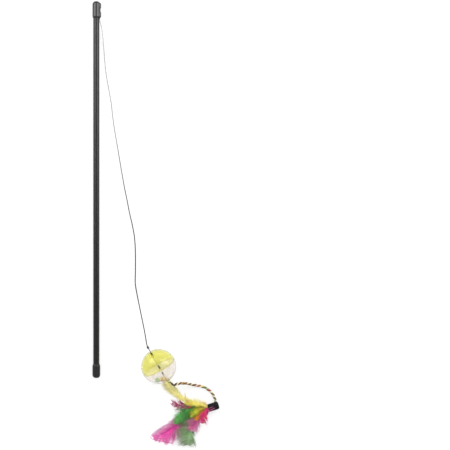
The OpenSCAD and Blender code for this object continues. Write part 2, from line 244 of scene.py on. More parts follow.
@dataclass(frozen=True)
class MouldedRubber(BlackSkin):
    """Dipped or moulded rubber: dark, half matt, with a fine pebbled skin."""

    name: str = "moulded_rubber"
    colour: str = "#1e1d1d"
    worn: str = "#282726"
    roughness: float = 0.24
    specular: float = 0.6
    relief_mm: float = 0.01
    pebble_mm: float = 0.5
    bloom_mm: float = 4.0

    def make(self) -> bpy.types.Material:
        """Makes the rubber's material."""
        material, tree = self.start()
        place = add_node(tree, "ShaderNodeTexCoord").outputs["Object"]
        pebble, bloom = (
            add_node(tree, "ShaderNodeTexNoise", {"Vector": place, "Scale": per_metre(size)})
            for size in (self.pebble_mm, self.bloom_mm))
        self.dress_skin(tree, bloom.outputs["Fac"], bloom.outputs["Fac"], pebble.outputs["Fac"])
        return material


@dataclass(frozen=True)
class ClearStyrene(Finish):
    """Injection-moulded clear styrene: see-through, glossy, with faint flow waves in its skin.

    The IOR is below styrene's own 1.59, so that the thin shells stay as pale as the real ones.
    """

    name: str = "clear_styrene"
    tint: str = "#f6f2ee"
    roughness: float = 0.16
    ior: float = 1.34
    wave_mm: float = 9.0
    wave_depth_mm: float = 0.05

    def make(self) -> bpy.types.Material:
        """Makes the plastic's material."""
        material, tree = self.start()
        place = add_node(tree, "ShaderNodeTexCoord").outputs["Object"]
        wave = add_node(tree, "ShaderNodeTexNoise", {"Vector": place, "Scale": per_metre(self.wave_mm)})
        bump = add_node(tree, "ShaderNodeBump", {
            "Height": wave.outputs["Fac"], "Distance": self.wave_depth_mm * MM,
        })
        self.close(tree, {
            "Base Color": srgb(self.tint), "Roughness": self.roughness, "IOR": self.ior,
            "Transmission Weight": 1.0, "Normal": bump.outputs["Normal"],
        })
        return material


@dataclass(frozen=True)
class MouldedBead(Finish):
    """Moulded pearly plastic bead: soft gloss, a little cloudy."""

    name: str = "moulded_bead"
    colour: str = "#a8d0a0"
    cloud: str = "#c4e2ba"
    cloud_mm: float = 2.0
    roughness: float = 0.3
    coat: float = 0.4

    def make(self) -> bpy.types.Material:
        """Makes the bead's material."""
        material, tree = self.start()
        place = add_node(tree, "ShaderNodeTexCoord").outputs["Object"]
        cloud = add_node(tree, "ShaderNodeTexNoise", {"Vector": place, "Scale": per_metre(self.cloud_mm)})
        tone = add_node(tree, "ShaderNodeMix", {
            MIX_FACTOR: cloud.outputs["Fac"], MIX_A: srgb(self.colour), MIX_B: srgb(self.cloud),
        }, data_type="RGBA")
        self.close(tree, {
            "Base Color": tone.outputs[MIX_RESULT], "Roughness": self.roughness, "Coat Weight": self.coat,
        })
        return material


@dataclass(frozen=True)
class HotMeltGlue(Finish):
    """Hot-melt glue set round the quills: yellowish, waxy, uneven."""

    name: str = "hot_melt_glue"
    colour: str = "#a8966c"
    clear: str = "#d2c49a"
    lump_mm: float = 1.6
    lump_height_mm: float = 0.15
    roughness: float = 0.35

    def make(self) -> bpy.types.Material:
        """Makes the glue's material."""
        material, tree = self.start()
        place = add_node(tree, "ShaderNodeTexCoord").outputs["Object"]
        lump = add_node(tree, "ShaderNodeTexNoise", {"Vector": place, "Scale": per_metre(self.lump_mm)})
        tone = add_node(tree, "ShaderNodeMix", {
            MIX_FACTOR: lump.outputs["Fac"], MIX_A: srgb(self.colour), MIX_B: srgb(self.clear),
        }, data_type="RGBA")
        bump = add_node(tree, "ShaderNodeBump", {
            "Height": lump.outputs["Fac"], "Distance": self.lump_height_mm * MM,
        })
        self.close(tree, {
            "Base Color": tone.outputs[MIX_RESULT], "Roughness": self.roughness,
            "Normal": bump.outputs["Normal"],
        })
        return material


@dataclass(frozen=True)
class SpunThread(Finish):
    """Thread spun or wrapped round a core: matt, with fine fibres along it and dyed in lengths.

    The fibres are drawn many times coarser than real ones, or they would not show.
    """

    name: str = "spun_thread"
    colours: tuple[tuple[float, str], ...] = ((0.0, "#8a8a88"), (1.0, "#8a8a88"))
    fibre_mm: float = 0.25
    fibre_length_mm: float = 1.2
    fibre_depth_mm: float = 0.05
    roughness: float = 0.7
    sheen: float = 0.2
    fibre_range: tuple[float, float] = (0.3, 0.7)
    shade_range: tuple[float, float] = (0.6, 1.25)

    def make(self) -> bpy.types.Material:
        """Makes the thread's material, which follows each strand by its own attributes."""
        material, tree = self.start()
        laid = add_node(tree, "ShaderNodeAttribute", attribute_name="laid").outputs["Vector"]
        strand = add_node(tree, "ShaderNodeAttribute", attribute_name="strand").outputs["Fac"]
        across, lengthwise = per_metre(self.fibre_mm), per_metre(self.fibre_length_mm)
        drawn = add_node(tree, "ShaderNodeMapping", {
            "Vector": laid, "Scale": (across, across, lengthwise),
        })
        fibre = add_node(tree, "ShaderNodeTexNoise", {"Vector": drawn.outputs["Vector"], "Scale": 1.0})
        own = add_node(tree, "ShaderNodeValToRGB", {"Fac": strand}, list(self.colours))
        shade = add_node(tree, "ShaderNodeMapRange", {
            "Value": fibre.outputs["Fac"],
            "From Min": self.fibre_range[0], "From Max": self.fibre_range[1],
            "To Min": self.shade_range[0], "To Max": self.shade_range[1],
        })
        tone = add_node(tree, "ShaderNodeVectorMath", {
            0: own.outputs["Color"], 1: shade.outputs["Result"],
        }, operation="MULTIPLY")
        bump = add_node(tree, "ShaderNodeBump", {
            "Height": fibre.outputs["Fac"], "Distance": self.fibre_depth_mm * MM,
        })
        self.close(tree, {
            "Base Color": tone.outputs["Vector"], "Roughness": self.roughness, "Sheen Weight": self.sheen,
            "Normal": bump.outputs["Normal"],
        })
        return material


@dataclass(frozen=True)
class DyedFeather(Finish):
    """Dyed down feather: matt and silky, each lock of barbs its own depth of dye.

    The dye changes from root to tip, in patches where it took deeper, and pales to the edges.
    """

    name: str = "dyed_feather"
    dye: tuple[tuple[float, str], ...] = ((0.0, "#d9439a"), (1.0, "#e868b8"))
    left_edge: str = "#f0a8d8"
    right_edge: str = "#f0a8d8"
    quill: str = "#e8c8d0"
    patch: str = "#c03080"
    edge_share: float = 0.75
    patch_mm: float = 9.0
    patch_range: tuple[float, float] = (0.42, 0.62)
    patch_share: float = 0.8
    edge_power: float = 1.6
    lock_depth: float = 0.16
    barb_depth: float = 0.12
    roughness: float = 0.65
    specular: float = 0.25
    sheen: float = 0.15

    def make(self) -> bpy.types.Material:
        """Makes the feather's material, which follows each barb by its own attributes."""
        material, tree = self.start()
        along, out, strand, lock, right, shaft = (
            add_node(tree, "ShaderNodeAttribute", attribute_name=mark).outputs["Fac"]
            for mark in ("along", "out", "strand", "lock", "right", "shaft"))
        place = add_node(tree, "ShaderNodeTexCoord").outputs["Object"]
        spread = add_node(tree, "ShaderNodeTexNoise", {
            "Vector": place, "Scale": per_metre(self.patch_mm),
        })
        spot = add_node(tree, "ShaderNodeMapRange", {
            "Value": spread.outputs["Fac"], "From Min": self.patch_range[0],
            "From Max": self.patch_range[1], "To Max": self.patch_share,
        })
        even = add_node(tree, "ShaderNodeValToRGB", {"Fac": along}, list(self.dye))
        dye = add_node(tree, "ShaderNodeMix", {
            MIX_FACTOR: spot.outputs["Result"], MIX_A: even.outputs["Color"], MIX_B: srgb(self.patch),
        }, data_type="RGBA")
        edge = add_node(tree, "ShaderNodeMix", {
            MIX_FACTOR: right, MIX_A: srgb(self.left_edge), MIX_B: srgb(self.right_edge),
        }, data_type="RGBA")
        fade = add_node(tree, "ShaderNodeMath", {0: out, 1: self.edge_power}, operation="POWER")
        fading = add_node(tree, "ShaderNodeMath", {
            0: fade.outputs[0], 1: self.edge_share,
        }, operation="MULTIPLY")
        vane = add_node(tree, "ShaderNodeMix", {
            MIX_FACTOR: fading.outputs[0],
            MIX_A: dye.outputs[MIX_RESULT], MIX_B: edge.outputs[MIX_RESULT],
        }, data_type="RGBA")
        own, deep = (
            add_node(tree, "ShaderNodeMapRange", {
                "Value": mark, "To Min": 1 - depth, "To Max": 1 + depth,
            })
            for mark, depth in ((strand, self.barb_depth), (lock, self.lock_depth)))
        depth = add_node(tree, "ShaderNodeMath", {
            0: own.outputs["Result"], 1: deep.outputs["Result"],
        }, operation="MULTIPLY")
        barb = add_node(tree, "ShaderNodeVectorMath", {
            0: vane.outputs[MIX_RESULT], 1: depth.outputs[0],
        }, operation="MULTIPLY")
        tone = add_node(tree, "ShaderNodeMix", {
            MIX_FACTOR: shaft, MIX_A: barb.outputs["Vector"], MIX_B: srgb(self.quill),
        }, data_type="RGBA")
        self.close(tree, {
            "Base Color": tone.outputs[MIX_RESULT], "Roughness": self.roughness,
            "Specular IOR Level": self.specular, "Sheen Weight": self.sheen,
        })
        return material


def dress(node: str, material: bpy.types.Material) -> None:
    """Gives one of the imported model's own solids its finish."""
    piece = bpy.data.objects[node]
    piece.data.materials.clear()
    piece.data.materials.append(material)
    LOG.info("%s: packed solid, %s", node, material.name)


def through(points: np.ndarray, spacing: float) -> np.ndarray:
    """Runs a smooth Catmull-Rom curve through given points.

    Args:
        points: The points, one row each.
        spacing: About how far apart the curve's own points lie.

    Returns:
        Points on the curve, one row each.
    """
    before = 2 * points[0] - points[1]
    after = 2 * points[-1] - points[-2]
    held = np.vstack([before, points, after])
    curve = []
    for i in range(1, len(held) - 2):
        a, b, c, d = held[i - 1:i + 3]
        count = max(2, int(np.linalg.norm(c - b) / spacing))
        for t in np.arange(count) / count:
            curve.append(0.5 * (2 * b + (c - a) * t + (2 * a - 5 * b + 4 * c - d) * t ** 2
                                + (3 * b - a - 3 * c + d) * t ** 3))
    curve.append(points[-1])
    return np.array(curve)


def run_of(line: np.ndarray) -> np.ndarray:
    """Returns how far each point of a line lies from its start, along it."""
    steps = np.linalg.norm(np.diff(line, axis=0), axis=1)
    return np.concatenate([[0.0], np.cumsum(steps)])


def unit(vectors: np.ndarray) -> np.ndarray:
    """Returns vectors of length 1 along the last axis."""
    return vectors / np.maximum(np.linalg.norm(vectors, axis=-1, keepdims=True), LEAST_LENGTH)


def ease(t: np.ndarray) -> np.ndarray:
    """Returns shares that start and end gently."""
    u = np.clip(t, 0, 1)
    return u * u * (3 - 2 * u)


def frames_of(lines: np.ndarray) -> tuple[np.ndarray, np.ndarray, np.ndarray]:
    """Carries a frame along lines without twisting it.

    Args:
        lines: Points as (lines, points, 3).

    Returns:
        Directions ahead, to the side and up at every point, as three arrays of that shape.
    """
    ahead = unit(np.gradient(lines, axis=1))
    upright = np.abs(ahead[:, :1, 2:]) > UPRIGHT
    reference = np.where(upright, np.array([1.0, 0.0, 0.0]), np.array([0.0, 0.0, 1.0]))
    side = unit(np.cross(ahead[:, 0], reference[:, 0]))
    sides = []
    for k in range(lines.shape[1]):
        side = unit(side - np.sum(side * ahead[:, k], axis=-1, keepdims=True) * ahead[:, k])
        sides.append(side)
    across = np.stack(sides, axis=1)
    return ahead, across, np.cross(across, ahead)


class Strands:
    """Round tapering strands with closed ends, gathered into one mesh.

    Every point keeps the place that it has on the straightened strand ("laid"), its share of the
    strand's length ("out"), and marks that are the same all over one strand.
    """

    def __init__(self, marks: tuple[str, ...]) -> None:
        """Starts without strands.

        Args:
            marks: Names of the values that each strand carries.
        """
        self.marks = marks
        self.points: list[np.ndarray] = []
        self.faces: list[list[int]] = []
        self.values: dict[str, list[np.ndarray]] = {name: [] for name in ("laid", "out", *marks)}
        self.count = 0

    def add(self, lines: np.ndarray, radii: np.ndarray, sides: int, thick: float = 1.0,
            **marks: np.ndarray | float) -> None:
        """Adds strands that have the same number of points.

        Args:
            lines: Centre points as (strands, points, 3).
            radii: Radius at each of them, as (strands, points).
            sides: Faces round each strand.
            thick: Thickness as a share of the width.
            **marks: For each mark one value for all, one a strand, or one a point as
                (strands, points).
        """
        many, steps, _ = lines.shape
        _, across, up = frames_of(lines)
        turn = np.arange(sides) * 2 * math.pi / sides
        ring = (np.cos(turn)[None, None, :, None] * across[:, :, None]
                + thick * np.sin(turn)[None, None, :, None] * up[:, :, None])
        self.points.append((lines[:, :, None] + radii[:, :, None, None] * ring).reshape(-1, 3))
        steps_run = np.linalg.norm(np.diff(lines, axis=1), axis=2)
        runs = np.concatenate([np.zeros((many, 1)), np.cumsum(steps_run, axis=1)], axis=1)
        laid = np.stack([
            radii[:, :, None] * np.cos(turn), radii[:, :, None] * np.sin(turn),
            np.repeat(runs[:, :, None], sides, axis=2),
        ], axis=-1)
        self.values["laid"].append(laid.reshape(-1, 3))
        out = np.broadcast_to(np.linspace(0, 1, steps)[None, :, None], (many, steps, sides))
        self.values["out"].append(out.reshape(-1))
        for name in self.marks:
            value = np.asarray(marks[name], float)
            value = value if value.ndim == 2 else value.reshape(-1, 1)
            own = np.broadcast_to(value[:, :, None], (many, steps, sides))
            self.values[name].append(own.reshape(-1))
        first = self.count + np.arange(many)[:, None, None] * steps * sides
        a = first + np.arange(steps - 1)[None, :, None] * sides + np.arange(sides)
        b = first + np.arange(steps - 1)[None, :, None] * sides + (np.arange(sides) + 1) % sides
        self.faces += np.stack([a, a + sides, b + sides, b], axis=-1).reshape(-1, 4).tolist()
        start = first[:, 0] + np.arange(sides)
        self.faces += start.tolist()
        self.faces += (start + (steps - 1) * sides)[:, ::-1].tolist()
        self.count += many * steps * sides

    def build(self, name: str, material: bpy.types.Material) -> bpy.types.Object:
        """Makes the piece.

        Args:
            name: The piece's name.
            material: Its finish.

        Returns:
            The new object, at the origin with its place in its mesh.
        """
        mesh = bpy.data.meshes.new(name)
        mesh.from_pydata(np.concatenate(self.points).tolist(), [], self.faces)
        for key, parts in self.values.items():
            kind = "FLOAT_VECTOR" if key == "laid" else "FLOAT"
            attribute = mesh.attributes.new(key, kind, "POINT")
            attribute.data.foreach_set("vector" if key == "laid" else "value",
                                       np.concatenate(parts).astype(np.float32).reshape(-1))
        mesh.polygons.foreach_set("use_smooth", [True] * len(mesh.polygons))
        mesh.materials.append(material)
        mesh.update()
        piece = bpy.data.objects.new(name, mesh)
        bpy.context.scene.collection.objects.link(piece)
        LOG.info("%s: %d faces, %s", name, len(self.faces), material.name)
        return piece


def wound_knot(centre: np.ndarray, axis: np.ndarray, length: float, width: float, strand: float,
               turns: float) -> np.ndarray:
    """Lays the turns of a tight knot round its cord.

    Args:
        centre: The knot's centre.
        axis: The cord's direction through it.
        length: Length over the turns.
        width: Width over the turns.
        strand: Diameter of the strand that is wound.
        turns: How many times it goes round.

    Returns:
        Points on the wound strand, one row each.
    """
    axis = unit(axis)
    side = unit(np.cross(axis, [0.0, 0.0, 1.0]))
    up = np.cross(side, axis)
    t = np.linspace(0, 1, int(turns * POINTS_PER_TURN) + 1)
    angle = t * turns * 2 * math.pi
    orbit = (width - strand) / 2 * (KNOT_ENDS + KNOT_MIDDLE * np.sin(math.pi * t))
    reach = (t - 0.5) * (length - strand) + KNOT_WEAVE * strand * np.sin(2 * angle)
    return (centre + reach[:, None] * axis + orbit[:, None]
            * (np.cos(angle)[:, None] * side + np.sin(angle)[:, None] * up))


@dataclass(frozen=True)
class Softbox:
    """One flat lamp: where it hangs, the point that it faces, its size and its power in watts."""

    name: str
    place: tuple[float, float, float]
    aim: tuple[float, float, float]
    size: tuple[float, float]
    power: float

    def build(self) -> None:
        """Hangs the lamp, unseen by the camera."""
        data = bpy.data.lights.new(self.name, "AREA")
        data.shape = "RECTANGLE"
        data.size, data.size_y = self.size
        data.energy = self.power
        lamp = bpy.data.objects.new(self.name, data)
        lamp.location = self.place
        lamp.rotation_euler = (Vector(self.aim) - Vector(self.place)).to_track_quat("-Z", "Y").to_euler()
        lamp.visible_camera = False
        bpy.context.scene.collection.objects.link(lamp)


@dataclass
class Studio:
    """Camera straight above the toy, two softboxes beyond its top cap, one before it, floor and world."""

    view_x: float = 0.0831
    view_y: float = -0.0007
    camera_height: float = 6.0
    lens_mm: float = 400.0
    sensor_mm: float = 36.0
    farthest: float = 100.0
    floor_size: float = 12.0
    floor_glow: float = 0.7
    paper: str = "#f2f2f2"
    paper_seen: str = "#a0a0a0"
    fill: float = 0.4
    softboxes: tuple[Softbox, ...] = (
        Softbox("softbox_left", (-0.95, 0.74, 0.86), (-0.07, 0.74, 0.0), (1.2, 1.2), 20.5),
        Softbox("softbox_right", (0.81, 0.74, 0.86), (-0.07, 0.74, 0.0), (1.2, 1.2), 20.5),
        Softbox("softbox_front", (0.08, -1.2, 1.2), (0.06, -0.22, 0.0), (1.2, 1.2), 6.5),
    )

    def build(self) -> None:
        """Builds the camera, the floor, the world and the lamps."""
        self.camera()
        self.floor()
        self.world()
        for softbox in self.softboxes:
            softbox.build()

    def camera(self) -> None:
        """Looks straight down, with +Y up in the picture."""
        data = bpy.data.cameras.new("camera")
        data.lens = self.lens_mm
        data.sensor_width = self.sensor_mm
        data.clip_end = self.farthest
        camera = bpy.data.objects.new("camera", data)
        camera.location = (self.view_x, self.view_y, self.camera_height)
        bpy.context.scene.collection.objects.link(camera)
        bpy.context.scene.camera = camera

    def floor(self) -> None:
        """Lays a plain white floor that keeps the toy's shadow.

        What the camera sees of it, also in gloss and through the ball, is greyer paper with a glow
        of its own, so that it shows white at a plain level of light.
        """
        bpy.ops.object.select_all(action="DESELECT")
        bpy.ops.mesh.primitive_plane_add(size=self.floor_size, location=(self.view_x, self.view_y, 0.0))
        floor = bpy.context.object
        floor.name = "floor"
        bpy.ops.object.transform_apply(location=True)
        material = bpy.data.materials.new("matt_paper")
        material.use_nodes = True
        tree = material.node_tree
        tree.nodes.clear()
        ray = add_node(tree, "ShaderNodeLightPath")
        seen = add_node(tree, "ShaderNodeMath", {
            0: ray.outputs["Is Camera Ray"], 1: ray.outputs["Is Glossy Ray"],
        }, operation="MAXIMUM")
        shown = add_node(tree, "ShaderNodeMath", {
            0: seen.outputs[0], 1: ray.outputs["Is Transmission Ray"],
        }, operation="MAXIMUM")
        tint = add_node(tree, "ShaderNodeMix", {
            MIX_FACTOR: shown.outputs[0], MIX_A: srgb(self.paper), MIX_B: srgb(self.paper_seen),
        }, data_type="RGBA")
        paper = add_node(tree, "ShaderNodeBsdfDiffuse", {"Color": tint.outputs[MIX_RESULT]})
        lift = add_node(tree, "ShaderNodeMath", {
            0: shown.outputs[0], 1: self.floor_glow,
        }, operation="MULTIPLY")
        glow = add_node(tree, "ShaderNodeEmission", {"Strength": lift.outputs[0]})
        both = add_node(tree, "ShaderNodeAddShader", {0: paper.outputs[0], 1: glow.outputs[0]})
        add_node(tree, "ShaderNodeOutputMaterial", {"Surface": both.outputs[0]})
        floor.data.materials.append(material)

    def world(self) -> None:
        """Fills the room with even white light."""
        world = bpy.data.worlds.new("world")
        world.use_nodes = True
        bpy.context.scene.world = world
        tree = world.node_tree
        tree.nodes.clear()
        sky = add_node(tree, "ShaderNodeBackground", {"Strength": self.fill})
        add_node(tree, "ShaderNodeOutputWorld", {"Surface": sky.outputs[0]})


@dataclass(frozen=True)
class Knot:
    """One tight knot of a cord: where it sits, its size, its turns, and the solid it stands for."""

    name: str
    centre: tuple[float, float, float]
    axis: tuple[float, float, float]
    length: float
    width: float
    turns: float
    body: Body
    node: str

    def line(self, strand: float) -> np.ndarray:
        """Returns the points of the wound strand, whose diameter is given, one row each."""
        return wound_knot(np.array(self.centre), np.array(self.axis), self.length, self.width, strand,
                          self.turns)


@dataclass
class ElasticString:
    """Covered elastic from the rod's cap to the ball, through it, and to the knot below it.

    Its colour pattern gives its colours and the swelling its thickness at shares of its length: pale
    grey near the cap, darker towards the ball. Where it passes through the ball it shows dark in
    three lengths only; the pale yellow and cream lengths between them are a painted highlight that
    stands in for the glare on the ball's shell, and there the string is also drawn thinner.
    """

    width: float = 0.9 * MM
    exit: tuple[float, float, float] = (-0.0674, 0.2451, 0.0078)
    spacing: float = 0.8 * MM
    facets: int = 12
    mouth_hole: tuple[float, float, float] = (-0.067031, 0.2478, 0.006644)
    dark: tuple[tuple[float, str], ...] = ((0.0, "#22221e"), (1.0, "#3a3a34"))
    knot_strand: float = 0.7 * MM
    knot_facets: int = 10
    knot_shade: float = 0.6
    bit_shares: tuple[float, ...] = (0.0, 0.25, 0.5)
    bit_spacing: float = 0.2 * MM
    bit_shade: float = 0.2
    knots: tuple[Knot, ...] = (
        Knot("mouth_knot_turns", (-0.067485, 0.2462, 0.007818), (0.25, -0.95, -0.1), 1.9 * MM, 1.9 * MM,
             2.5, Body.SWIVEL, "mouth_knot"),
        Knot("upper_knot_turns", (-0.00893, -0.14704, 0.02657), (-0.4787, 0.8530, 0.2079), 3.4 * MM,
             3.0 * MM, 3.5, Body.LINE, "upper_knot"),
        Knot("lower_knot_turns", (0.018, -0.189, 0.0153), (0.653, -0.673, -0.347), 1.9 * MM, 1.8 * MM,
             2.5, Body.LINE, "lower_knot"),
    )
    # Colours along the string: pale grey near the cap, darker towards the ball. Inside the ball the pale
    # yellow and cream stops between the three dark lengths are a painted highlight, standing in for the
    # glare on the ball's shell that hides the string there.
    colour_pattern: tuple[tuple[float, str], ...] = (
        (0.0, "#84847f"), (0.03, "#c0c0be"), (0.12, "#acacaa"), (0.3, "#8a8a88"), (0.45, "#5e5e5c"),
        (0.6, "#343432"), (0.88, "#242422"), (0.8955, "#2c2c26"), (0.898, "#f0eca0"),
        (0.9005, "#2c2c1c"), (0.9075, "#2c2c1c"), (0.91, "#c8c460"), (0.934, "#dcd87c"),
        (0.938, "#f8f4c0"), (0.9405, "#2c2a18"), (0.951, "#2c2a18"), (0.9535, "#f8f0d0"),
        (0.9585, "#f8f0d0"), (0.9605, "#342c20"), (0.9675, "#342c20"), (0.97, "#e0c498"),
        (1.0, "#6a5a44"),
    )
    # Thickness along the string: thinner at the painted highlight inside the ball, thicker at its three
    # dark lengths there.
    swelling: tuple[tuple[float, float], ...] = (
        (0.0, 1.0), (0.04, 1.2), (0.3, 1.2), (0.5, 1.35), (0.65, 1.45), (0.87, 1.45), (0.8955, 1.0),
        (0.898, 0.7), (0.901, 1.9), (0.907, 1.9), (0.91, 0.75), (0.938, 0.6), (0.941, 1.9), (0.9505, 1.9),
        (0.9535, 0.6), (0.9585, 0.6), (0.961, 1.8), (0.967, 1.8), (0.97, 0.7), (1.0, 1.0),
    )
    route: tuple[tuple[float, float, float], ...] = (
        (-0.067485, 0.2462, 0.007818), (-0.0674, 0.2451, 0.0078), (-0.0663, 0.2415, 0.0071),
        (-0.0651, 0.237, 0.0058), (-0.0639, 0.2305, 0.004),
        (-0.0626, 0.2165, 0.0017), (-0.0615, 0.202, 0.0008), (-0.0603, 0.1875, 0.0005),
        (-0.0583, 0.173, 0.0005), (-0.0557, 0.159, 0.0005), (-0.0533, 0.1445, 0.0005),
        (-0.0517, 0.13, 0.0005), (-0.0497, 0.1155, 0.0005), (-0.0473, 0.101, 0.0005),
        (-0.0449, 0.087, 0.0005), (-0.0425, 0.0725, 0.0005), (-0.04, 0.058, 0.0005),
        (-0.0374, 0.0435, 0.0005), (-0.0345, 0.0295, 0.0005), (-0.0317, 0.015, 0.0005),
        (-0.0284, 0.0005, 0.0005), (-0.0257, -0.014, 0.0005), (-0.0246, -0.028, 0.0005),
        (-0.0243, -0.0425, 0.0005), (-0.0244, -0.057, 0.0005), (-0.0245, -0.071, 0.0007),
        (-0.022, -0.086, 0.0024), (-0.019, -0.1005, 0.0066), (-0.016, -0.1145, 0.013),
        (-0.0129, -0.129, 0.0202), (-0.0109, -0.1405, 0.0256), (-0.0098, -0.1454, 0.027),
        (-0.0081, -0.1486, 0.0262), (-0.0062, -0.152, 0.0254), (-0.0032, -0.1573, 0.0241),
        (0.0039, -0.1699, 0.021), (0.011, -0.1825, 0.0179), (0.014, -0.1878, 0.0166),
        (0.0146, -0.1887, 0.0163), (0.0156, -0.1894, 0.016), (0.0169, -0.1893, 0.0156),
        (0.018, -0.189, 0.0153),
    )

    def knot(self, knot: Knot, finish: bpy.types.Material) -> bpy.types.Object:
        """Builds one knot.

        Args:
            knot: Its place, size and turns.
            finish: The dark elastic's material.

        Returns:
            The knot's piece.
        """
        turned = knot.line(self.knot_strand)
        wound = Strands(("strand",))
        wound.add(turned[None], np.full((1, len(turned)), self.knot_strand / 2), self.knot_facets,
                  strand=self.knot_shade)
        piece = wound.build(knot.name, finish)
        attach(piece, knot.body.value)
        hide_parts(knot.node)
        return piece

    def bit_out_of_cap(self, finish: bpy.types.Material) -> None:
        """Builds the bit of string that stays with the cap, from its hole halfway to the first knot."""
        hole, pivot = np.array(self.mouth_hole), np.array(self.knots[0].centre)
        points = np.stack([hole + share * (pivot - hole) for share in self.bit_shares])
        bit = through(points, self.bit_spacing)
        held = Strands(("strand",))
        held.add(bit[None], np.full((1, len(bit)), self.width / 2), self.knot_facets,
                 strand=self.bit_shade)
        piece = held.build("string_out_of_cap", finish)
        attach(piece, Body.WAND.value)

    def build(self) -> None:
        """Builds the string, its three knots and the bit that stays with the cap."""
        dark = SpunThread("knotted_elastic", self.dark).make()
        # The string's colours include the painted highlight of the ball's glare on its length inside the
        # ball.
        elastic = SpunThread("covered_elastic", self.colour_pattern).make()
        line = through(np.array(self.route), self.spacing)
        run = run_of(line)
        share = run / run[-1]
        radii = self.width / 2 * np.interp(share, *np.array(self.swelling).T)
        line[:, 2] = np.maximum(line[:, 2], radii)
        strands = Strands(("strand",))
        strands.add(line[None], radii[None], self.facets, strand=share[None])
        string = strands.build("elastic_string", elastic)
        knots = [self.knot(knot, dark) for knot in self.knots]
        self.bit_out_of_cap(dark)
        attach(string, Body.LINE.value)
        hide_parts("string", "ball_string")
        LOG.info("string measures %.4f m", run[-1])


